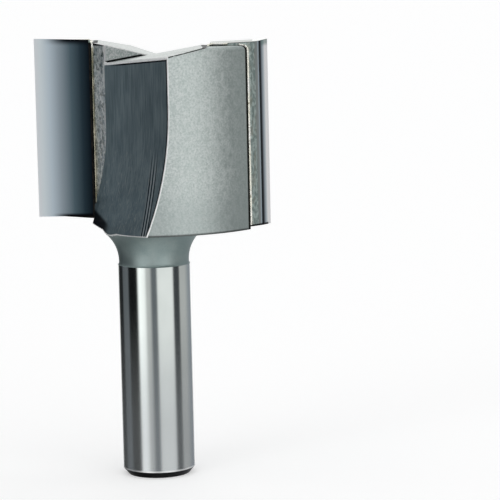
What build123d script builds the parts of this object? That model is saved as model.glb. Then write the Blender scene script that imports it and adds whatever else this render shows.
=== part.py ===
from build123d import *
from math import asin, degrees, radians, sin, tan
import os

# Two-flute straight router bit in millimetres. The shank end sits on the XY
# plane and the axis runs along +Z. The cutting edges lie on +X and -X, and the
# bit cuts turning anticlockwise as seen from its free end.

# Overall sizes
cutting_diameter = 44.45
cutting_length = 31.75
overall_length = 76.8
shank_diameter = 12.7
flutes = 2

# Shank end and neck
end_chamfer_length = 1.1
end_chamfer_depth = 0.9
neck_relief = 0.2
neck_length = 0.65
flare_radius = 6.4
flare_turn = 56.0

# Head, set in from the cutting circle and from both ends of the blades
body_clearance = 1.0
steel_below_tips = 0.9
steel_past_blades = 0.45
underside_rise = 1.25
top_corner_radius = 0.8

# Brazed blades
hook_angle = 20.0
blade_width = 9.7
blade_thickness = 4.0
braze_film = 0.3
pocket_lean = 17.0
primary_relief = 10.0
secondary_relief = 22.0
primary_width_top = 2.9
primary_width_bottom = 2.4
end_dish = 2.0
end_relief = 4.0

# Gullets
root_strip = 3.0
root_strip_tilt = 31.4
heel_angle = 57.5
run_out_radius = 57.0
run_out_height = 16.6
run_out_slope = 9.4

# Sloped gash across the free end of each wing
gash_tilt = 12.0
gash_heading = 24.5
gash_depth = 1.9

# How far a cutting tool reaches past the metal
overrun = 5.0

cutting_radius = cutting_diameter / 2
body_radius = cutting_radius - body_clearance
shank_radius = shank_diameter / 2
neck_radius = shank_radius - neck_relief
pitch = 360 / flutes
turns = [pitch * index for index in range(flutes)]

blade_bottom = overall_length - cutting_length
underside = blade_bottom - steel_past_blades
steel_top = overall_length - steel_below_tips
flare_top = underside - underside_rise
flare_bottom = flare_top - flare_radius * sin(radians(flare_turn))
ground_shank_length = flare_bottom - neck_length
pocket_width = blade_width + braze_film
pocket_thickness = blade_thickness + braze_film
pocket_foot_width = pocket_width - (blade_bottom - flare_bottom) * tan(radians(pocket_lean))


def blade_plane(height, turn=0):
    """Plane with its origin on a cutting edge, its X running in along the rake
    face and its Y running back through the blade."""
    edge = Vector(cutting_radius, 0, height).rotate(Axis.Z, turn)
    inward = Vector(-1, 0, 0).rotate(Axis.Z, turn + hook_angle)
    return Plane(origin=edge, x_dir=inward, z_dir=(0, 0, 1))


def blade_outline(primary_width):
    """Section of one blade: a bar whose outer end is ground to two reliefs."""
    primary = PolarLine((0, 0), primary_width, 90 - hook_angle - primary_relief)
    secondary = PolarLine(
        primary @ 1,
        blade_thickness - (primary @ 1).Y,
        90 - hook_angle - secondary_relief,
        length_mode=LengthMode.VERTICAL,
    )
    Polyline(secondary @ 1, (blade_width, blade_thickness), (blade_width, 0), (0, 0))


# Gullet in front of the blade on +X. The plane of the rake face leads to a strip
# of steel that leans forward, and that to a wall which runs out to the heel of the
# next wing. The wall leaves the steel along the arc of the milling cutter.
seat = blade_plane(0)
strip_start = seat.from_local_coords(Vector(pocket_width, 0, 0))
strip_direction = seat.x_dir.rotate(Axis.Z, -root_strip_tilt)
root = strip_start + strip_direction * root_strip
rake_face = Plane(origin=seat.origin, x_dir=seat.x_dir, z_dir=-seat.y_dir)
strip_normal = rake_face.z_dir.rotate(Axis.Z, -root_strip_tilt)
strip_face = Plane(origin=strip_start, x_dir=strip_direction, z_dir=strip_normal)
heel = Vector(body_radius, 0, 0).rotate(Axis.Z, pitch - heel_angle)
to_root = (root - heel).normalized()
wall_normal = to_root.rotate(Axis.Z, 90)
travel = to_root.rotate(Axis((0, 0, 0), wall_normal), run_out_slope)
wall_start = Vector(root.X, root.Y, underside + run_out_height)
wall_plane = Plane(origin=wall_start, x_dir=wall_normal, z_dir=travel)
heel_rise = (root - heel).length * sin(radians(run_out_slope))
cut_depth = run_out_height + heel_rise + overrun
run_out_arc = degrees(asin(cut_depth / run_out_radius))

with BuildPart() as gullet:
    with BuildSketch(wall_plane):
        with BuildLine():
            straight = Line((0, overall_length), (0, 0))
            arc = JernArc(straight @ 1, (0, -1), run_out_radius, run_out_arc)
            Polyline(
                arc @ 1,
                (cutting_diameter, (arc @ 1).Y),
                (cutting_diameter, overall_length),
                straight @ 0,
            )
        make_face()
    extrude(amount=cutting_diameter, both=True)
    split(bisect_by=rake_face, keep=Keep.TOP)
    split(bisect_by=strip_face, keep=Keep.TOP)

# Gash over the wing that carries the blade on +X. It stops at a step through
# the axis, where the gash of the other wing starts lower down.
other_root = root.rotate(Axis.Z, pitch)
beyond_strip = strip_start - seat.x_dir * cutting_diameter
beyond_other = other_root + seat.x_dir * cutting_diameter
gash_normal = Vector(0, 0, 1).rotate(Axis.Y, -gash_tilt).rotate(Axis.Z, gash_heading)
gash_plane = Plane(origin=(0, 0, steel_top - gash_depth), z_dir=gash_normal)

with BuildPart() as gash:
    with BuildSketch(Plane.XY.offset(underside)):
        with BuildLine():
            Polyline(
                (other_root.X, other_root.Y),
                (root.X, root.Y),
                (strip_start.X, strip_start.Y),
                (beyond_strip.X, beyond_strip.Y),
                (cutting_diameter, -cutting_diameter),
                (-cutting_diameter, -cutting_diameter),
                (beyond_other.X, beyond_other.Y),
                close=True,
            )
        make_face()
    extrude(amount=cutting_length + overrun)
    split(bisect_by=gash_plane, keep=Keep.TOP)

# Pocket for the blade on +X. Below the blade its inner wall leans out, where the
# cutter leaves the steel.
with BuildPart() as pocket:
    with BuildSketch(rake_face.offset(-pocket_thickness)):
        with BuildLine():
            Polyline(
                (pocket_width, overall_length),
                (pocket_width, blade_bottom),
                (pocket_foot_width, flare_bottom),
                (-overrun, flare_bottom),
                (-overrun, overall_length),
                close=True,
            )
        make_face()
    extrude(amount=pocket_thickness + body_radius)

# Bar turned to the shank, the neck, the flare and the head
with BuildPart() as turned_bar:
    with BuildSketch(Plane.XZ):
        with BuildLine():
            shank = Polyline(
                (0, 0),
                (shank_radius - end_chamfer_depth, 0),
                (shank_radius, end_chamfer_length),
                (shank_radius, ground_shank_length),
                (neck_radius, ground_shank_length + neck_relief),
                (neck_radius, flare_bottom),
            )
            flare = JernArc(shank @ 1, (0, 1), flare_radius, -flare_turn)
            head = Polyline(
                flare @ 1,
                (body_radius, underside),
                (body_radius, steel_top - top_corner_radius),
            )
            corner = JernArc(head @ 1, (0, 1), top_corner_radius, 90)
            Polyline(corner @ 1, (0, steel_top), (0, 0))
        make_face()
    revolve(axis=Axis.Z)

with BuildPart() as steel_body:
    add(turned_bar.part)
    with PolarLocations(0, flutes):
        add(gullet.part, mode=Mode.SUBTRACT)
        add(gash.part, mode=Mode.SUBTRACT)
        add(pocket.part, mode=Mode.SUBTRACT)
steel_body.part.label = "steel_body"

# Each blade sits in its pocket on a film of braze behind it and at its inner end
blades = []
films = []
for side, turn in zip("ab", turns):
    foot = blade_plane(blade_bottom, turn)
    tip = blade_plane(overall_length, turn)
    end_face = Plane(tip.location * Location((0, 0, 0), (-end_relief, end_dish, 0)))

    with BuildPart() as blade:
        with BuildSketch(foot):
            with BuildLine():
                blade_outline(primary_width_bottom)
            make_face()
        with BuildSketch(tip):
            with BuildLine():
                blade_outline(primary_width_top)
            make_face()
        loft(ruled=True)
        split(bisect_by=end_face, keep=Keep.BOTTOM)
    blade.part.label = "carbide_blade_" + side
    blades.append(blade.part)

    with BuildPart() as film:
        with BuildSketch(foot):
            with Locations((pocket_width, pocket_thickness)):
                Rectangle(pocket_width, pocket_thickness, align=Align.MAX)
            with Locations((blade_width, blade_thickness)):
                Rectangle(
                    blade_width, blade_thickness, align=Align.MAX, mode=Mode.SUBTRACT
                )
        extrude(amount=steel_top - blade_bottom)
        add(turned_bar.part, mode=Mode.INTERSECT)
    film.part.label = "braze_film_" + side
    films.append(film.part)

os.makedirs("parts", exist_ok=True)
for piece in [steel_body.part] + blades + films:
    export_step(piece, "parts/" + piece.label + ".step")
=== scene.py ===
# %% [markdown]
# # The looks of a two-flute straight router bit
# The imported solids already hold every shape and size: a turned and milled steel body, two
# carbide blades and the thin films of braze behind them. What is left for Blender is what the
# eye reads as metal: which tool cut each surface, how rough it was left, how the edges catch
# the light, and the bead of braze that was squeezed out along every joint.

# %% The fixed frame
from math import cos, pi, radians, sin, sqrt, tan

import bmesh
import bpy
from mathutils import Matrix, Vector


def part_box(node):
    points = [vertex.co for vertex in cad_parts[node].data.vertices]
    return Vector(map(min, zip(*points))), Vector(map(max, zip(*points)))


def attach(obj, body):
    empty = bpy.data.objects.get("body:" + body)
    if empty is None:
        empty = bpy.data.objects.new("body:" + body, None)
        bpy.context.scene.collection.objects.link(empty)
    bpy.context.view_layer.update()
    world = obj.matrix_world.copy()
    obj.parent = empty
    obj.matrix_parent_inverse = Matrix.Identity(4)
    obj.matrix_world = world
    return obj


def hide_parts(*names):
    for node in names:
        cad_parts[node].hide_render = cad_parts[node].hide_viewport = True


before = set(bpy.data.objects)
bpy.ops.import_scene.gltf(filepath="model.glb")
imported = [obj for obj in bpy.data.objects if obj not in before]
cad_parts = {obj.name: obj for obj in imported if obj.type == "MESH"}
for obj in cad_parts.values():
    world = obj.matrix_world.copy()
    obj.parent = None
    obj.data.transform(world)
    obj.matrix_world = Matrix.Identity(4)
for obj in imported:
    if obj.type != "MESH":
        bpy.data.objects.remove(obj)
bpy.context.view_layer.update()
print("nodes", sorted(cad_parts))

# %% [markdown]
# ## Sizes
# The script works in metres. Some sizes can be measured on the frame. The ones that a box
# can't show, such as the hook of the blades, are repeated here from the drawing. Each is named
# once, so that a pattern or a seam moves with the part it belongs to.

# %% Sizes of the bit
MM = 0.001
blade_low, blade_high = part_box("carbide_blade_a")
cutting_radius = blade_high.x
blade_foot = blade_low.z
blade_top = blade_high.z
steel_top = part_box("steel_body")[1].z

body_radius = cutting_radius - 1.0 * MM
end_chamfer_length = 1.1 * MM
underside = blade_foot - 0.45 * MM
flare_top = underside - 1.25 * MM
flare_bottom = flare_top - 6.4 * MM * sin(radians(56.0))
ground_length = flare_bottom - 0.65 * MM
top_corner_radius = 0.8 * MM

hook = radians(20.0)
blade_width = 9.7 * MM
blade_thickness = 4.0 * MM
braze_film = 0.3 * MM
pocket_width = blade_width + braze_film
pocket_thickness = blade_thickness + braze_film

strip_tilt = radians(31.4)
strip_width = 3.0 * MM
heel_angle = radians(57.5)
gash_tilt = radians(12.0)
gash_heading = radians(24.5)
gash_height = steel_top - 1.9 * MM
print(f"cutting radius {cutting_radius / MM:.2f} mm")
print(f"blades from {blade_foot / MM:.2f} to {blade_top / MM:.2f} mm")

# %% [markdown]
# ## Directions on the head
# Both wings are alike and lie half a turn apart, so one is described here and the other is the
# same half a turn on. The rake face of a blade runs inward from its cutting edge. A narrow
# strip of steel carries on from it at a tilt, as far as the root of the gullet. From there the
# gullet's wall runs out to the heel of the other wing. These corners and directions are used
# three times below: to tell faces apart, to place patterns, and to lay the beads of braze.

# %% Corners and directions in plan
def around(angle, radius):
    return Vector((cos(angle), sin(angle), 0)) * radius


inward = Vector((-cos(hook), -sin(hook), 0))
behind = Vector((sin(hook), -cos(hook), 0))
cutting_edge = Vector((cutting_radius, 0, 0))
pocket_corner = cutting_edge + inward * pocket_width
strip_turn = Matrix.Rotation(-strip_tilt, 3, "Z")
strip_way = strip_turn @ inward
strip_out = strip_turn @ -behind
root = pocket_corner + strip_way * strip_width
heel = around(pi - heel_angle, body_radius)
along_wall = (heel - root).normalized()
wall_out = Vector((along_wall.y, -along_wall.x, 0))
gash_lean = around(gash_heading, tan(gash_tilt))
print(f"gullet wall {(heel - root).length / MM:.1f} mm wide")

# %% [markdown]
# ## Camera
# The viewpoint was worked out by fitting the shank, the neck and both cutting edges to the
# photograph. A long lens looks slightly down on the bit, turned a little past the left blade
# and rolled by about a degree. The camera is written as those few angles and distances, and
# its matrix is built from them, so that each can be read and changed.

# %% Camera
azimuth = radians(22.033)
elevation = radians(7.593)
roll = radians(-1.224)
distance = 439.374 * MM
aim_right = 16.928 * MM
aim_height = 39.352 * MM
frame_pixels = 500
focal_pixels = 2498.688
sensor = 36.0

to_right = Vector((cos(azimuth), sin(azimuth), 0))
towards_viewer = Vector((sin(azimuth), -cos(azimuth), 0))
backward = towards_viewer * cos(elevation) + Vector((0, 0, sin(elevation)))
level_up = backward.cross(to_right)
camera_right = to_right * cos(roll) + level_up * sin(roll)
camera_up = level_up * cos(roll) - to_right * sin(roll)
camera_place = to_right * aim_right + Vector((0, 0, aim_height)) + backward * distance

camera_data = bpy.data.cameras.new("viewpoint")
camera_data.sensor_width = sensor
camera_data.lens = focal_pixels / frame_pixels * sensor
camera_data.clip_start = 0.02
camera_data.clip_end = 20.0
camera = bpy.data.objects.new("viewpoint", camera_data)
camera_axes = Matrix((camera_right, camera_up, backward)).transposed()
camera.matrix_world = Matrix.Translation(camera_place) @ camera_axes.to_4x4()
bpy.context.scene.collection.objects.link(camera)
bpy.context.scene.camera = camera
print(f"camera at {[round(c / MM) for c in camera_place]} mm, lens {camera_data.lens:.1f} mm")

# %% [markdown]
# ## Shader maths as Python
# A finish is a formula: how far a point lies from an edge, how strong a streak is there. Shader
# nodes can hold that formula, but a chain of Math nodes is hard to read. This small class wraps
# one socket, and its operators add the Math nodes, so that the formula is written as Python.
# Every other node comes from one method, which sets what the node is before it feeds it.

# %% One socket with arithmetic
class Field:
    """A node's output. Sums, products and comparisons of fields add Math nodes."""

    def __init__(self, tree, socket):
        self.tree = tree
        self.socket = socket

    def maths(self, operation, *others):
        values = dict(enumerate((self, *others)))
        return make_node(self.tree, "ShaderNodeMath", {"operation": operation}, values)

    def __add__(self, other):
        return self.maths("ADD", other)

    def __radd__(self, other):
        return self.maths("ADD", other)

    def __sub__(self, other):
        return self.maths("SUBTRACT", other)

    def __rsub__(self, other):
        values = {0: other, 1: self}
        return make_node(self.tree, "ShaderNodeMath", {"operation": "SUBTRACT"}, values)

    def __mul__(self, other):
        return self.maths("MULTIPLY", other)

    def __rmul__(self, other):
        return self.maths("MULTIPLY", other)

    def __truediv__(self, other):
        return self.maths("DIVIDE", other)

    def __neg__(self):
        return self.maths("MULTIPLY", -1.0)

    def __lt__(self, other):
        return self.maths("LESS_THAN", other)

    def __gt__(self, other):
        return self.maths("GREATER_THAN", other)

    def at_least(self, other):
        """The greater of this field and another."""
        return self.maths("MAXIMUM", other)

    def towards(self, other, mask):
        """This field where the mask is 0, and the other value where it is 1."""
        return self + (other - self) * mask

    def rise(self, start, end, low=0.0, high=1.0):
        """Goes smoothly from low to high as this field goes from start to end."""
        values = {0: self, 1: start, 2: end, 3: low, 4: high}
        settings = {"interpolation_type": "SMOOTHSTEP"}
        return make_node(self.tree, "ShaderNodeMapRange", settings, values)

    def ramp(self, stops):
        """Colours along this field, from a list of (position, grey or colour)."""
        return make_node(self.tree, "ShaderNodeValToRGB", {"stops": stops}, {0: self})


# %% One way to make a node
def as_colour(value):
    return (value, value, value, 1.0) if isinstance(value, float) else (*value, 1.0)


def set_stops(ramp, stops):
    for _ in stops[2:]:
        ramp.elements.new(0.5)
    for element, (position, value) in zip(ramp.elements, stops):
        element.position = position
        element.color = as_colour(value)


def make_node(tree, kind, settings=None, values=None, output=0):
    """Adds a node: its settings first, then the values or links of its sockets."""
    node = tree.nodes.new(kind)
    for name, setting in (settings or {}).items():
        if name == "stops":
            set_stops(node.color_ramp, setting)
        else:
            setattr(node, name, setting)
    for key, value in (values or {}).items():
        if isinstance(value, Field):
            tree.links.new(value.socket, node.inputs[key])
        else:
            node.inputs[key].default_value = value
    return Field(tree, node.outputs[output]) if node.outputs else None


def outputs_of(field):
    """Every output of the node that a field comes from."""
    return [Field(field.tree, socket) for socket in field.socket.node.outputs]


# %% [markdown]
# Colours are mixed by Mix nodes, because a Math node would turn them grey. Patterns come from
# noise. Nearly every mark on this bit is drawn out along the way that a tool moved, so one
# helper takes the number of marks per millimetre along each axis. A small number along Z makes
# upright streaks, and a large one makes rings.

# %% Colours and patterns
def mix(factor, first, second):
    """From the first colour to the second as the factor goes from 0 to 1."""
    ends = [v if isinstance(v, Field) else as_colour(v) for v in (first, second)]
    values = {0: factor, 6: ends[0], 7: ends[1]}
    return make_node(factor.tree, "ShaderNodeMix", {"data_type": "RGBA"}, values, output=2)


def marks(point, per_mm, detail=2.0, roughness=0.5):
    """Noise with so many marks per millimetre along each axis."""
    scaled = {0: point, 1: tuple(rate / MM for rate in per_mm)}
    place = make_node(point.tree, "ShaderNodeVectorMath", {"operation": "MULTIPLY"}, scaled)
    values = {"Vector": place, "Scale": 1.0, "Detail": detail, "Roughness": roughness}
    return make_node(point.tree, "ShaderNodeTexNoise", {"noise_dimensions": "3D"}, values)


# %% [markdown]
# A pattern that follows a joint or an edge has to know how far away that is. These helpers
# measure it in millimetres from the point's own coordinates. One side of the bit counts as +1
# and the other as -1. Multiplying x and y by that number turns one wing onto the other, so
# that each formula is written once and serves both.

# %% Distances on the bit
def axes_of(vector):
    return outputs_of(make_node(vector.tree, "ShaderNodeSeparateXYZ", values={0: vector}))


def parts_of(point):
    """The x, y and z of a point."""
    return [part / MM for part in axes_of(point)]


def height_of(point):
    return axes_of(point)[2] / MM


def from_axis(x, y):
    return (x * x + y * y).maths("SQRT")


def sign_of(value):
    return (value > 0.0) * 2.0 - 1.0


def inward_on_blade(x, y, side):
    """How far a point lies from the cutting edge, inward along the rake face."""
    return (cutting_radius / MM - x * side) * cos(hook) - y * side * sin(hook)


def back_through_blade(x, y, side):
    """How far a point lies behind the rake face."""
    return (x * side - cutting_radius / MM) * sin(hook) - y * side * cos(hook)


def along_the_wall(x, y):
    """How far a point of a gullet's wall lies from the root, and the gullet's side."""
    side = sign_of(x * wall_out.x + y * wall_out.y)
    return (x * along_wall.x + y * along_wall.y) * side - root.dot(along_wall) / MM, side


def gash_over(x, y, side):
    """Height of the sloped gash over a point of the wing on that side."""
    return (x * gash_lean.x + y * gash_lean.y) * side + gash_height / MM


# %% [markdown]
# ## One way to make a metal
# Every piece of this bit is metal, so every finish is the same shader with other numbers. What
# is the same all over a surface, such as the stretch of its highlights, is set on the shader.
# What changes over it, such as colour, roughness and the height of scratches, comes in as a
# field. Heights go through a Bump node, with the depth of the deepest mark as its distance. A
# surface that is coated with dust, scale or wear is not bare metal all over, and so a finish
# can also say how metallic it is.

# %% Metal shader
def metal(name, paint, anisotropic=0.0, turn=0.0):
    """A material from the function paint, which gives its colour, roughness, bump height and
    depth, and how bare the metal is where it is not bare all over."""
    material = bpy.data.materials.new(name)
    material.use_nodes = True
    tree = material.node_tree
    tree.nodes.clear()
    point = make_node(tree, "ShaderNodeTexCoord", output=3)
    colour, roughness, height, depth, *bare = paint(point)
    heights = {"Strength": 1.0, "Distance": depth, "Height": height}
    values = {
        "Base Color": colour,
        "Metallic": bare[0] if bare else 1.0,
        "Roughness": roughness,
        "Anisotropic": anisotropic,
        "Anisotropic Rotation": turn,
        "Normal": make_node(tree, "ShaderNodeBump", values=heights),
    }
    shader = make_node(tree, "ShaderNodeBsdfPrincipled", values=values)
    make_node(tree, "ShaderNodeOutputMaterial", values={"Surface": shader})
    print("finish", name, "with", len(tree.nodes), "nodes")
    return material


# %% [markdown]
# ## The ground shank
# The shank is ground between centres, because a collet grips it. The wheel leaves scratches
# that run round the bar, far finer than the eye can part. They hardly blur what the bar
# reflects from side to side, but they smear it up and down, which is why a ground bar shows
# sharp upright bands. That is anisotropy: it is set on the shader and turned by a quarter. Only
# a trace of bump is added. The lower half is duller and less bare, and its colour is darkened
# there as painted shade. Just above the chamfer a bright line is painted as a highlight.

# %% Ground shank
darkest_above_end = 6.0
clear_above_end = 33.0
highlight_foot = end_chamfer_length / MM + 0.15
highlight_width = 0.2


def paint_shank(point):
    z = height_of(point)
    rings = marks(point, (0.05, 0.05, 5.0), detail=3.0)
    cloud = marks(point, (0.12, 0.12, 0.08))
    dull_and_shaded = z.rise(clear_above_end, darkest_above_end)
    painted_lip_highlight = z.rise(highlight_foot + highlight_width, highlight_foot)
    colour = mix(cloud.rise(0.3, 0.7), (0.55, 0.59, 0.57), (0.62, 0.66, 0.64))
    # painted shade on the lower half, then a painted highlight line just above the chamfer
    colour = mix(dull_and_shaded * 0.6, colour, (0.41, 0.43, 0.45))
    colour = mix(painted_lip_highlight, colour, (0.95, 0.96, 0.96))
    rough = dull_and_shaded * 0.085 + painted_lip_highlight * 0.3 + 0.18
    return colour, rough, rings, 0.00015 * MM, 1 - dull_and_shaded * 0.22


shank_finish = metal("ground_shank", paint_shank, anisotropic=0.75, turn=0.25)

# %% [markdown]
# The end chamfer is turned, then left with the black scale of its heat treatment. The neck, the
# flare and the underside of the head are turned as well, but blasted to an even satin, so they
# get a fine grain over faint rings and are a little glossier close to the shank.

# %% Shank chamfer and turned neck
neck_foot = flare_bottom / MM


def paint_chamfer(point):
    scale = marks(point, (1.5, 1.5, 1.5))
    colour = mix(scale.rise(0.35, 0.75), 0.004, 0.02)
    return colour, scale.rise(0.0, 1.0, 0.4, 0.6), scale, 0.01 * MM


def paint_neck(point):
    rings = marks(point, (0.2, 0.2, 3.0), detail=3.0)
    cloud = marks(point, (0.25, 0.25, 0.2), detail=3.0)
    grain = marks(point, (4.0, 4.0, 4.0))
    colour = mix(cloud.rise(0.3, 0.7), (0.33, 0.41, 0.405), (0.40, 0.475, 0.465))
    near_shank = height_of(point).rise(neck_foot + 2.45, neck_foot + 0.15)
    rough = grain.rise(0.2, 0.8, 0.60, 0.70) - near_shank * 0.12
    return colour, rough, rings * 0.5 + grain, 0.003 * MM


chamfer_finish = metal("black_chamfer", paint_chamfer)
neck_finish = metal("turned_neck", paint_neck)

# %% [markdown]
# ## The back of the wings
# The two broad lands were blasted after hardening. Blasting leaves a fine even grain with
# no direction, mottled where the grit struck harder. Two sizes of noise do that: one for the
# grain of a few tenths of a millimetre, and a slow one for the mottling. The land darkens
# towards the blade and towards its foot. Black is painted along three borders: a painted
# shadow beside the braze, a black line on the lower rim, and a dotted black line under the gash.

# %% Blasted lands
LAND_SHADOW_AND_LINE_BLACK = (0.012, 0.014, 0.012)


def paint_land(point):
    x, y, z = parts_of(point)
    side = sign_of(x)
    past_joint = back_through_blade(x, y, side) - pocket_thickness / MM
    above_foot = z - blade_foot / MM
    below_gash = gash_over(x, y, side) - z
    grain = marks(point, (3.2, 3.2, 3.2), detail=3.0, roughness=0.6)
    mottle = marks(point, (0.9, 0.9, 0.9), detail=4.0, roughness=0.65)
    tone = grain * 0.6 + mottle * 0.4
    colour = mix(tone.rise(0.34, 0.66), (0.45, 0.515, 0.495), (0.69, 0.735, 0.72))
    colour = mix(past_joint.rise(6.5, 1.0) * 0.42, colour, (0.25, 0.31, 0.30))
    colour = mix(above_foot.rise(8.95, 1.95) * 0.40, colour, (0.38, 0.44, 0.43))
    rim = above_foot.rise(0.0, -0.3) * 0.75
    joint_shadow = past_joint.rise(0.55, 0.38)
    gash_line = below_gash.rise(0.24, 0.12) * mottle.rise(0.40, 0.50)
    # a shadow painted black beside the braze, and black lines on the lower rim and under the gash
    colour = mix(rim.at_least(joint_shadow).at_least(gash_line), colour, LAND_SHADOW_AND_LINE_BLACK)
    return colour, mottle.rise(0.3, 0.7, 0.46, 0.56), grain, 0.010 * MM


land_finish = metal("blasted_land", paint_land)

# %% [markdown]
# ## The gullets
# A large milling cutter sank into the bar and ran out along its own arc. It leaves fine
# upright streaks, and a few deeper ridges near the heel, where its teeth chattered at the end
# of the cut. The wall is given a darker colour than the rest.
# The streaks are noise that is very long in Z. The ridges are a sine wave across the wall. They
# bend outwards lower down, as the cutter did, and fade in where it began to lift. Their crests
# are painted light as a highlight, and their troughs dark as painted shade.

# %% Chatter ridges
ridge_pitch = 1.3
ridge_bend = 0.0145
bend_starts = 12.95


def chatter_ridges(along, above_foot):
    """The wave of the ridges from -1 to 1, and how strongly they show."""
    sweep = (bend_starts - above_foot).at_least(0.0)
    across = along - sweep * sweep * ridge_bend
    wave = (across * (2 * pi / ridge_pitch)).maths("SINE")
    shown = across.rise(22.2, 22.9) * across.rise(26.4, 25.6) * above_foot.rise(14.95, 6.95)
    return wave, shown


# %% [markdown]
# The wall is also black along its borders: under the gashed end, beside the heel, and low down
# in the corner at the root. A dark border next to a bright broken edge is what makes a milled
# corner look crisp.

# %% Milled gullet wall
def paint_wall(point):
    x, y, z = parts_of(point)
    along, side = along_the_wall(x, y)
    above_foot = z - blade_foot / MM
    streaks = marks(point, (2.6, 2.6, 0.16), detail=4.0, roughness=0.65)
    strokes = marks(point, (3.2, 3.2, 0.5), detail=2.0)
    cloud = marks(point, (0.2, 0.2, 0.12))
    tone = streaks * 0.75 + cloud * 0.25
    colour = mix(tone.rise(0.36, 0.64), (0.168, 0.226, 0.254), (0.302, 0.373, 0.400))
    scored = strokes.rise(0.60, 0.72) * above_foot.rise(16.95, 6.95, 0.2, 1.0)
    colour = mix(scored, colour, (0.42, 0.47, 0.48))
    wave, shown = chatter_ridges(along, above_foot)
    # crests of the ridges painted light as a highlight, troughs painted dark as shade
    colour = mix(wave.rise(0.3, 0.9) * shown, colour, (0.62, 0.66, 0.68))
    colour = mix(wave.rise(-0.1, -0.7) * shown, colour, (0.015, 0.022, 0.03))
    below_end = gash_over(x, y, -side) - z
    before_heel = body_radius / MM - from_axis(x, y)
    root_corner = above_foot + along * 0.19
    shade = below_end.rise(0.72, 0.58) * along.rise(1.0, 9.0)
    shade = shade.at_least(before_heel.rise(0.85, 0.55) * 0.85)
    shade = shade.at_least(root_corner.rise(1.25, 0.45) * along.rise(9.0, 5.0))
    colour = mix(shade, colour, (0.010, 0.013, 0.018))
    bumps = streaks * 0.7 + strokes * 0.3 + wave * shown
    return colour, streaks.rise(0.3, 0.7, 0.60, 0.70), bumps, 0.012 * MM


wall_finish = metal("milled_wall", paint_wall)

# %% [markdown]
# Beside each blade a narrow strip was left as the small cutter tore it, full of flux pits and
# bright flecks, which are painted glints. Four noises of different length share the work: a
# grain, upright streaks, dark pits and the finest one for the painted glints. Each is cut off
# sharply, so that the strip is patchy and not merely grey. Flux stained the side of the blade,
# and along the root a bright line is painted as a highlight on the edge. Towards the top the
# strip grows dark.

# %% Rough strip beside the blades
STRIP_GLINT_AND_HIGHLIGHT = (0.95, 0.98, 0.98)


def paint_strip(point):
    x, y, z = parts_of(point)
    from_joint = inward_on_blade(x, y, sign_of(x)) - pocket_width / MM
    below_top = steel_top / MM - z
    grain = marks(point, (3.2, 3.2, 1.5), detail=3.0, roughness=0.7)
    streaks = marks(point, (2.6, 2.6, 0.3), detail=2.0)
    pits = marks(point, (2.2, 2.2, 1.0), detail=2.0)
    glint_flecks = marks(point, (5.0, 5.0, 2.4), detail=2.0)
    tone = grain * 0.65 + streaks * 0.35
    colour = mix(tone.rise(0.38, 0.60), (0.36, 0.44, 0.48), (0.97, 1.0, 1.0))
    stain = from_joint.rise(1.5, 0.4) * streaks.rise(0.35, 0.6) * 0.45
    colour = mix(stain, colour, (0.38, 0.40, 0.28))
    pitted = pits.rise(0.54, 0.60) * below_top.rise(5.9, 1.9, 0.45, 1.0)
    colour = mix(pitted, colour, (0.05, 0.075, 0.07))
    # bright flecks painted as glints
    colour = mix(glint_flecks.rise(0.57, 0.64) * below_top.rise(0.4, 2.9), colour, STRIP_GLINT_AND_HIGHLIGHT)
    colour = mix(below_top.rise(9.9, 0.9) * 0.40, colour, (0.13, 0.17, 0.165))
    # a highlight painted as a bright line along the root
    painted_root_highlight = from_joint.rise(2.2, 2.4) * streaks.rise(0.40, 0.50) * 0.8
    colour = mix(painted_root_highlight, colour, STRIP_GLINT_AND_HIGHLIGHT)
    shade = below_top.rise(0.7, 0.35).at_least(from_joint.rise(0.25, 0.12))
    colour = mix(shade, colour, (0.012, 0.014, 0.014))
    return colour, grain.rise(0.3, 0.7, 0.32, 0.55), grain + glint_flecks * 0.5, 0.035 * MM, 0.72


strip_finish = metal("torn_strip", paint_strip)

# %% [markdown]
# ## The gashed ends
# The sloped ends were milled last, so they are the brightest of the steel: light grey with a
# speckle. Where the two gashes meet at the axis, one lies lower than the other and a low step
# stands between them. A shadow is painted as a dark line along its foot, and a highlight as a
# bright border beside the strip.

# %% Gashed ends and the step between them
def paint_end(point):
    speckle = marks(point, (2.2, 2.2, 2.2), detail=3.0, roughness=0.6)
    colour = mix(speckle.rise(0.35, 0.62), (0.52, 0.57, 0.55), (0.78, 0.81, 0.79))
    return colour, speckle.rise(0.2, 0.8, 0.35, 0.5), speckle, 0.015 * MM


def paint_step(point):
    x, y, z = parts_of(point)
    lower_gash = gash_over(x, y, 1.0).maths("MINIMUM", gash_over(x, y, -1.0))
    past_root = from_axis(x, y) - root.length / MM
    speckle = marks(point, (3.0, 3.0, 3.0), detail=3.0, roughness=0.65)
    colour = mix(speckle.rise(0.38, 0.62), (0.62, 0.72, 0.68), (0.97, 1.0, 0.99))
    # a highlight painted as a bright border beside the strip
    colour = mix(past_root.rise(-0.45, -0.25), colour, 1.0)
    # a shadow painted as a dark line along the foot of the step
    colour = mix((z - lower_gash).rise(0.42, 0.28), colour, (0.015, 0.016, 0.016))
    return colour, speckle.rise(0.2, 0.8, 0.4, 0.55), speckle, 0.015 * MM, 0.85


end_finish = metal("gashed_end", paint_end)
step_finish = metal("gash_step", paint_step)

# %% [markdown]
# What shows of the pockets, below the blades and beside them, is painted black as shade. The
# films of braze inside the joints share this finish, black with burnt flux.

# %% Painted shade in the pockets, and burnt flux
def paint_shade_and_flux(point):
    blotches = marks(point, (1.5, 1.5, 0.8), detail=3.0)
    # painted shade for the pockets, and the dark flux of the braze films
    colour = mix(blotches.rise(0.3, 0.7), (0.008, 0.008, 0.009), (0.03, 0.028, 0.024))
    return colour, blotches.rise(0.2, 0.8, 0.5, 0.7), blotches, 0.02 * MM


shade_and_flux_finish = metal("pocket_shade_and_flux", paint_shade_and_flux)

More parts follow.
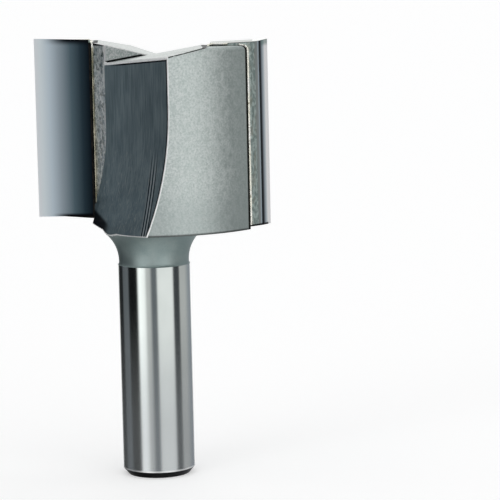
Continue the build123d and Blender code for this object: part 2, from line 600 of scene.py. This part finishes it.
# %% [markdown]
# The edges round the gullets were broken with a stone, to a few tenths of a millimetre. Such an
# edge is painted nearly white as a highlight, with small darker nicks. It is made mostly not
# bare, so that the painted highlight stays pale whatever stands opposite it.

# %% Broken edges, painted as highlights
def paint_edge_highlight(point):
    nicks = marks(point, (1.2, 1.2, 1.2), detail=2.0)
    # nearly white, as a painted highlight
    colour = mix(nicks.rise(0.25, 0.5), (0.80, 0.83, 0.83), (0.99, 1.0, 0.99))
    return colour, nicks.rise(0.2, 0.8, 0.30, 0.45), nicks, 0.01 * MM, 0.3


edge_highlight_finish = metal("broken_edge_highlight", paint_edge_highlight)

# %% [markdown]
# ## Dressing the steel body
# The solid comes as loose triangles, one smooth mesh with a single material. To give each
# surface its own finish and to break the edges, a copy is made: its triangles are joined,
# flat ones are merged, and each face gets the finish of the tool that cut it. Which tool that
# was can be told from where the face lies and which way it looks. The copy keeps the form of
# the solid and then stands for it.

# %% Which finish a face of the steel body gets
STEEL_FINISHES = [
    shank_finish, chamfer_finish, neck_finish, land_finish, wall_finish,
    strip_finish, end_finish, step_finish, shade_and_flux_finish, edge_highlight_finish,
]
SHANK, CHAMFER, NECK, LAND, WALL, STRIP, END, STEP, POCKET, EDGE = range(len(STEEL_FINISHES))
level_top = 0.99
sloped_end = 0.9
same_way = 0.97
same_way_as_strip = 0.985
root_room = 0.05 * MM


def steel_finish_of(centre, normal, nearest):
    """The index of the finish for a face, from its centre, normal and innermost corner."""
    outward = Vector((normal.x, normal.y, 0))
    if outward.length > 0.05:
        outward.normalize()
    if centre.z < end_chamfer_length:
        return CHAMFER
    if centre.z < ground_length:
        return SHANK
    if centre.z < flare_bottom or normal.z < -0.5 or (centre.z < flare_top and normal.z < 0.2):
        return NECK
    if nearest > body_radius * 0.9 or normal.z > level_top:
        return LAND
    if normal.z > sloped_end:
        return END
    if max(abs(outward.dot(behind)), abs(outward.dot(inward))) > same_way:
        return WALL if normal.z > 0.1 else POCKET
    if abs(outward.dot(strip_out)) > same_way_as_strip:
        return STRIP if centre.xy.length > root.length + root_room else STEP
    if abs(outward.dot(wall_out)) > same_way:
        return WALL
    return STEP


# %% The copy of the steel body
def joined_copy(node, name):
    """A copy of a CAD node with its triangles joined and its flat faces merged."""
    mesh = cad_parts[node].data.copy()
    mesh.name = name
    work = bmesh.new()
    work.from_mesh(mesh)
    bmesh.ops.remove_doubles(work, verts=work.verts, dist=0.002 * MM)
    bmesh.ops.dissolve_limit(
        work, angle_limit=radians(0.5), verts=work.verts, edges=work.edges)
    work.to_mesh(mesh)
    work.free()
    piece = bpy.data.objects.new(name, mesh)
    bpy.context.scene.collection.objects.link(piece)
    return piece


def give_finishes(piece, finishes, choose):
    piece.data.materials.clear()
    for finish in finishes:
        piece.data.materials.append(finish)
    for face in piece.data.polygons:
        corners = [piece.data.vertices[i].co for i in face.vertices]
        nearest = min(corner.xy.length for corner in corners)
        face.material_index = choose(face.center, face.normal, nearest)


steel = joined_copy("steel_body", "dressed_steel_body")
give_finishes(steel, STEEL_FINISHES, steel_finish_of)
for index, finish in enumerate(STEEL_FINISHES):
    print(finish.name, "on", sum(f.material_index == index for f in steel.data.polygons), "faces")

# %% [markdown]
# A bevel breaks the edges. A weight on each edge says how wide: fully between a gashed end and
# a wall, half as wide along the rest of the gullet, and not at all on the shank, in the pockets
# and on the outer rims, which are left crisp. The bevel is applied before the mesh is smoothed
# and its sharp edges are marked, so that the flat faces keep their straight normals.

# %% Broken edges on the copy
widest_break = 0.38 * MM
breaks_from = radians(28.0)
sharp_from = radians(15.0)


def weigh_edges(piece, from_angle):
    """Marks the outer edges to break with a bevel weight."""
    work = bmesh.new()
    work.from_mesh(piece.data)
    weight = work.edges.layers.float.new("bevel_weight_edge")
    for edge in work.edges:
        sides = {face.material_index for face in edge.link_faces}
        left_crisp = sides & {SHANK, CHAMFER, POCKET} or (LAND in sides and WALL not in sides)
        if edge.calc_face_angle_signed() > from_angle and not left_crisp:
            edge[weight] = 1.0 if sides == {END, WALL} else 0.5
    work.to_mesh(piece.data)
    work.free()


def break_edges(piece, width, finish_index, sharp_angle):
    """Bevels the marked edges, and keeps the result as a plain mesh, smooth but at its edges."""
    bevel = piece.modifiers.new("broken_edges", "BEVEL")
    bevel.width = width
    bevel.segments = 2
    bevel.limit_method = "WEIGHT"
    bevel.use_clamp_overlap = False
    bevel.loop_slide = False
    bevel.material = finish_index
    evaluated = piece.evaluated_get(bpy.context.evaluated_depsgraph_get())
    plain = bpy.data.meshes.new_from_object(evaluated)
    piece.modifiers.clear()
    piece.data = plain
    piece.data.shade_smooth()
    piece.data.set_sharp_from_angle(angle=sharp_angle)


weigh_edges(steel, breaks_from)
break_edges(steel, widest_break, EDGE, sharp_from)
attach(steel, "root")
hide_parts("steel_body")
print("dressed steel body", len(steel.data.polygons), "faces")

# %% [markdown]
# ## Carbide blades
# Carbide is darker and bluer than steel. The solids are already right, so they keep their own
# meshes, and one formula tells their faces apart by the blade's own directions: inward along the
# rake face, and back through the blade. The rake face is lapped. A reflection is painted into its
# colour: from nearly white at the cutting edge to nearly black at the root, in one smooth ramp.

# %% Rake face
RAKE_PAINTED_REFLECTION = [
    (0.0, (0.95, 0.98, 1.0)), (0.11, (0.86, 0.94, 0.97)), (0.26, (0.66, 0.76, 0.83)),
    (0.44, (0.38, 0.45, 0.50)), (0.66, (0.115, 0.17, 0.20)), (0.85, (0.030, 0.052, 0.068)),
    (1.0, (0.007, 0.012, 0.018)),
]


def rake_painted_reflection(into, above_foot, below_end):
    """Colour of the rake face with its painted reflection, which also darkens at both of its
    ends.
    """
    # a painted reflection, from white at the cutting edge to black at the root
    tint = (into / (blade_width / MM)).ramp(RAKE_PAINTED_REFLECTION)
    at_end = below_end.rise(1.3, 0.1) * into.rise(1.0, 6.0)
    tint = mix(at_end, tint, (0.006, 0.007, 0.010))
    at_foot = above_foot.rise(0.7, 0.15) * into.rise(2.0, 5.5)
    return mix(at_foot, tint, (0.004, 0.004, 0.006))


# %% [markdown]
# Behind the cutting edge two reliefs are ground. Light is painted on the first, which is fine:
# a white highlight at the edge, a fall to black, and a pale highlight where the second relief
# starts. The second is left coarse and matt. The border between them leans, because the first
# relief is wider at the top, so the ramp is stretched to that border.

# %% Reliefs
RELIEF_PAINTED_LIGHT = [
    (0.0, (1.0, 1.0, 1.0)), (0.27, (1.0, 1.0, 1.0)), (0.35, (0.66, 0.72, 0.76)),
    (0.44, (0.44, 0.50, 0.54)), (0.54, (0.24, 0.28, 0.31)), (0.60, (0.08, 0.10, 0.12)),
    (0.63, (0.010, 0.014, 0.018)), (0.765, (0.010, 0.014, 0.018)), (0.80, (0.50, 0.60, 0.66)),
    (0.835, (0.60, 0.69, 0.73)), (0.87, (0.40, 0.44, 0.44)), (1.0, (0.36, 0.39, 0.38)),
]
relief_reach = 1.3
border_at_foot = 2.25
border_at_top = 2.42


def relief_tone(point, grit, into, across, above_foot, below_end):
    """Colour of both reliefs, with light painted on the first, where across goes from 0 at the
    edge to 1 at their border.
    """
    patches = marks(point, (1.1, 1.1, 0.35), detail=2.0)
    tone = mix(grit.rise(0.40, 0.60), (0.29, 0.365, 0.345), (0.55, 0.64, 0.61))
    tone = mix(patches.rise(0.50, 0.65) * 0.4, tone, (0.36, 0.33, 0.26))
    # painted highlights and reflection across the first relief
    relief_painted_light = (across / relief_reach).ramp(RELIEF_PAINTED_LIGHT)
    tone = mix((across < relief_reach) * (into < 3.5), tone, relief_painted_light)
    at_end = below_end.rise(1.3, 0.5) * (across < 0.75) * 0.6
    tone = mix(at_end, tone, (0.10, 0.20, 0.17))
    at_foot = above_foot.rise(0.45, 0.2) * (across > 0.3)
    return mix(at_foot, tone, (0.006, 0.006, 0.008))


# %% Carbide finish
end_dish = tan(radians(2.0))
end_relief = tan(radians(4.0))
face_room = 0.03


def carbide(name, side):
    """The finish of the blade on one side of the bit."""
    def paint(point):
        x, y, z = parts_of(point)
        into = inward_on_blade(x, y, side)
        back = back_through_blade(x, y, side)
        above_foot = z - blade_foot / MM
        below_end = blade_top / MM - into * end_dish - back * end_relief - z
        height = above_foot / ((blade_top - blade_foot) / MM)
        border = border_at_foot + height * (border_at_top - border_at_foot)
        on_rake = back < face_room
        on_end = below_end < face_room
        on_first_relief = (back < border) * (into < 2.5)
        grit = marks(point, (2.2, 2.2, 1.2), detail=3.0, roughness=0.6)
        colour = relief_tone(point, grit, into, back / border, above_foot, below_end)
        # the end of the blade is pale near the edge, and black towards the back as a painted
        # shadow
        end_tone_and_shadow = mix(back.rise(2.9, 3.5), (0.74, 0.77, 0.74), (0.02, 0.022, 0.02))
        colour = mix(on_end, colour, end_tone_and_shadow)
        colour = mix(on_rake, colour, rake_painted_reflection(into, above_foot, below_end))
        rough = grit.rise(0.2, 0.8, 0.40, 0.55)
        rough = rough.towards(0.12, on_first_relief).towards(0.36, on_rake)
        return colour, rough, grit * (1 - on_rake), 0.008 * MM

    return metal(name, paint)


def finish_node(node, finish):
    """Gives a CAD node a finish on its object's own slot, and leaves its mesh alone."""
    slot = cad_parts[node].material_slots[0]
    slot.link = "OBJECT"
    slot.material = finish


finish_node("carbide_blade_a", carbide("lapped_blade_a", 1.0))
finish_node("carbide_blade_b", carbide("lapped_blade_b", -1.0))

# %% [markdown]
# ## Braze
# Silver braze shows as a pale cream line wherever it fills a joint. The film itself is a solid
# of the frame. What the eye sees is the bead that was squeezed out along the joint, rounded,
# a little uneven, and pitted. It is cream on the outer joint and on the end of the steel. Down
# beside the strip it is stained with flux.

# %% Braze finish
def paint_braze(point):
    x, y, z = parts_of(point)
    pits = marks(point, (2.6, 2.6, 1.3), detail=3.0, roughness=0.6)
    cloud = marks(point, (0.6, 0.6, 0.25)).rise(0.4, 0.6)
    pale = mix(cloud, (0.95, 0.94, 0.82), (1.0, 1.0, 0.95))
    stained = mix(cloud, (0.19, 0.19, 0.135), (0.46, 0.43, 0.33))
    on_end = (steel_top / MM - z).rise(1.0, 0.4)
    colour = mix(from_axis(x, y).rise(14.5, 17.0).at_least(on_end), stained, pale)
    colour = mix(pits.rise(0.32, 0.45), (0.22, 0.19, 0.12), colour)
    return colour, pits.rise(0.2, 0.8, 0.15, 0.35), pits, 0.03 * MM


braze_finish = metal("silver_braze", paint_braze)
finish_node("braze_film_a", shade_and_flux_finish)
finish_node("braze_film_b", shade_and_flux_finish)

# %% [markdown]
# One bead climbs the outer joint and bends over the rounded corner of the steel. A second one
# lies on the end of the steel at the blade's inner corner and goes down beside the strip. Both
# paths are written in the blade's own directions, so that the same points make the beads of the
# other blade, half a turn away.

# %% The paths of the beads
def on_blade(into, back, height):
    """A point of blade a from its distances inward, back and up."""
    spot = cutting_edge + inward * into + behind * back
    return Vector((spot.x, spot.y, height))


def into_at_radius(radius, back):
    """How far inward the joint meets the turned surface of the head."""
    across = cutting_edge.dot(inward)
    flat = cutting_edge + behind * back
    return -across - sqrt(across ** 2 - flat.length_squared + radius ** 2)


mid_film = blade_thickness + braze_film / 2
outer_into = into_at_radius(body_radius, mid_film)
corner_steps = 6
outer_seam = [on_blade(outer_into, mid_film, blade_foot + 0.3 * MM)]
for step in range(corner_steps + 1):
    bend = step / corner_steps * pi / 2
    into = outer_into + top_corner_radius * (1 - cos(bend))
    height = steel_top - top_corner_radius * (1 - sin(bend))
    outer_seam.append(on_blade(into, mid_film, height))
outer_seam.append(on_blade(outer_into + 1.5 * MM, mid_film, steel_top + 0.15 * MM))

beside_strip = pocket_corner + strip_way * (0.42 * MM)
inner_seam = [
    on_blade(6.6 * MM, blade_thickness, steel_top + 0.25 * MM),
    on_blade(blade_width - 0.4 * MM, blade_thickness, steel_top + 0.30 * MM),
    on_blade(pocket_width, blade_thickness, steel_top),
    on_blade(pocket_width, 0.4 * MM, steel_top),
    Vector((beside_strip.x, beside_strip.y, steel_top - 0.2 * MM)),
    Vector((beside_strip.x, beside_strip.y, blade_foot + 1.2 * MM)),
]
print("outer joint", round(outer_into / MM, 2), "mm inward")

# %% [markdown]
# A bead follows a path, so Geometry Nodes sweep it. The path is cut into short steps, and a
# round section is carried along it with a radius that wanders. The wander is noise in four
# dimensions: three for the place, and the fourth is a seed, so that each bead gets its own
# lumps and keeps them in every run.

# %% The bead tree
BEAD_SIZES = {"Radius": 0.23 * MM, "Unevenness": 0.5, "Lump length": 1.2 * MM, "Seed": 3.0}


def bead_tree(finish):
    """Geometry Nodes that lay an uneven round bead along a wire."""
    tree = bpy.data.node_groups.new("braze_bead", "GeometryNodeTree")
    sockets = tree.interface
    sockets.new_socket("Geometry", in_out="INPUT", socket_type="NodeSocketGeometry")
    for name, value in BEAD_SIZES.items():
        size = sockets.new_socket(name, in_out="INPUT", socket_type="NodeSocketFloat")
        size.default_value = value
    sockets.new_socket("Geometry", in_out="OUTPUT", socket_type="NodeSocketGeometry")

    def add(kind, values, settings=None):
        return make_node(tree, kind, settings, values)

    wire, radius, uneven, lump, seed = outputs_of(make_node(tree, "NodeGroupInput"))[:5]
    curve = add("GeometryNodeMeshToCurve", {"Mesh": wire})
    steps = {"Curve": curve, "Length": 0.15 * MM}
    even = add("GeometryNodeResampleCurve", steps, {"mode": "LENGTH"})
    lumps = add("ShaderNodeCombineXYZ", {0: lump, 1: lump, 2: lump})
    place = {0: add("GeometryNodeInputPosition", {}), 1: lumps}
    counted = add("ShaderNodeVectorMath", place, {"operation": "DIVIDE"})
    noise_values = {"Vector": counted, "W": seed, "Scale": 1.0, "Detail": 3.0}
    noise = add("ShaderNodeTexNoise", noise_values, {"noise_dimensions": "4D"})
    wander = (noise - 0.5) * uneven * 2.0 + 1.0
    sized = add("GeometryNodeSetCurveRadius", {"Curve": even, "Radius": wander})
    ring = add("GeometryNodeCurvePrimitiveCircle", {"Resolution": 8, "Radius": radius})
    swept = {"Curve": sized, "Profile Curve": ring, "Fill Caps": True}
    tube = add("GeometryNodeCurveToMesh", swept)
    solid = add("GeometryNodeRealizeInstances", {"Geometry": tube})
    painted = add("GeometryNodeSetMaterial", {"Geometry": solid, "Material": finish})
    add("NodeGroupOutput", {0: painted})
    print("bead tree with", len(tree.nodes), "nodes")
    return tree


bead_nodes = bead_tree(braze_finish)


# %% Laying the beads
def lay_bead(name, points, seed):
    mesh = bpy.data.meshes.new(name)
    mesh.from_pydata(points, [(i, i + 1) for i in range(len(points) - 1)], [])
    bead = bpy.data.objects.new(name, mesh)
    bpy.context.scene.collection.objects.link(bead)
    layer = bead.modifiers.new("bead", "NODES")
    layer.node_group = bead_nodes
    inputs = [i for i in bead_nodes.interface.items_tree if i.in_out == "INPUT"]
    identifiers = {i.name: i.identifier for i in inputs}
    layer[identifiers["Seed"]] = seed
    evaluated = bead.evaluated_get(bpy.context.evaluated_depsgraph_get())
    plain = bpy.data.meshes.new_from_object(evaluated)
    bead.modifiers.clear()
    bead.data = plain
    bead.data.shade_smooth()
    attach(bead, "root")
    print(name, len(plain.polygons), "faces")


half_turn = Matrix.Rotation(pi, 3, "Z")
for side, turn, seed in (("a", Matrix.Identity(3), 3.0), ("b", half_turn, 8.0)):
    lay_bead("outer_bead_" + side, [turn @ point for point in outer_seam], seed)
    lay_bead("inner_bead_" + side, [turn @ point for point in inner_seam], seed + 1.0)

# %% [markdown]
# ## Studio
# Metal looks like what stands round it. A photographer stands cards about the bit: white ones
# on both sides of the lens and black ones between them. They draw the upright bands on the
# shank. Here the cards are a colour ramp round the horizon of the world, with the direction
# towards the viewer in its middle. Dark cards are a little blue, as shade in a white room is.
# High above them hangs one even soft light. What the camera sees straight behind the bit is
# white. A stop of a ramp can't be brighter than 1, so all the lights are stored as parts of the
# brightest.

# %% Cards round the horizon
CARDS = [
    (-180, 1.15), (-162, 1.05), (-150, 0.03), (-123, 0.02), (-118, 0.16), (-93, 0.20),
    (-88, 0.01), (-57, 0.01), (-50, 1.8), (-31, 1.5), (-24, 0.80), (-13, 0.70),
    (-7, 0.21), (7, 0.20), (12, 1.16), (61, 1.16), (66, 0.07), (86, 0.07),
    (90, 0.62), (114, 0.60), (136, 0.38), (157, 0.32), (163, 1.05), (180, 1.15),
]
COOL = (0.92, 0.99, 1.09)
brightest = 2.0
cool_below = 0.5
overhead = 0.75


def card_light(level):
    """The level of a card as a part of the brightest, a little blue where it is dark."""
    part = level / brightest
    return tuple(part * tint for tint in COOL) if level < cool_below else part


def studio_world():
    world = bpy.data.worlds.new("studio")
    bpy.context.scene.world = world
    world.use_nodes = True
    tree = world.node_tree
    tree.nodes.clear()
    x, y, z = axes_of(make_node(tree, "ShaderNodeTexCoord", output=0))
    sideways = x * to_right.x + y * to_right.y
    forward = x * towards_viewer.x + y * towards_viewer.y
    bearing = sideways.maths("ARCTAN2", forward) / (2 * pi) + 0.5
    cards = bearing.ramp([(angle / 360 + 0.5, card_light(level)) for angle, level in CARDS])
    light = mix(z.rise(0.45, 0.75), cards, overhead / brightest)
    seen_by_camera = make_node(tree, "ShaderNodeLightPath", output=0)
    light = mix(seen_by_camera, light, 1.0 / brightest)
    values = {"Color": light, "Strength": brightest}
    back = make_node(tree, "ShaderNodeBackground", values=values)
    make_node(tree, "ShaderNodeOutputWorld", values={"Surface": back})
    print("world with", len(CARDS), "stops round the horizon")


studio_world()

# %% [markdown]
# The floor is a plain pale sheet. It keeps the soft shadow of the bit, and a little added
# glow for the camera brings it to white. Reflections pass it by, as if the bit stood on clear
# glass, so that the bands on the shank run down to its end.

# %% Floor
floor_half_side = 3.0
floor_grey = 0.82
floor_glow = 0.42


def floor_finish():
    material = bpy.data.materials.new("pale_floor")
    material.use_nodes = True
    tree = material.node_tree
    tree.nodes.clear()
    seen_by_camera = make_node(tree, "ShaderNodeLightPath", output=0)
    values = {
        "Base Color": as_colour(floor_grey),
        "Roughness": 0.9,
        "Specular IOR Level": 0.0,
        "Emission Color": mix(seen_by_camera, 0.0, floor_glow),
        "Emission Strength": 1.0,
    }
    shader = make_node(tree, "ShaderNodeBsdfPrincipled", values=values)
    make_node(tree, "ShaderNodeOutputMaterial", values={"Surface": shader})
    return material


def floor_sheet(half, finish):
    mesh = bpy.data.meshes.new("floor")
    corners = [(-half, -half, 0), (half, -half, 0), (half, half, 0), (-half, half, 0)]
    mesh.from_pydata(corners, [], [(0, 1, 2, 3)])
    mesh.materials.append(finish)
    floor = bpy.data.objects.new("floor", mesh)
    bpy.context.scene.collection.objects.link(floor)
    floor.visible_glossy = False
    print("floor", 2 * half, "m wide")


floor_sheet(floor_half_side, floor_finish())
bpy.context.scene.view_settings.view_transform = "Standard"
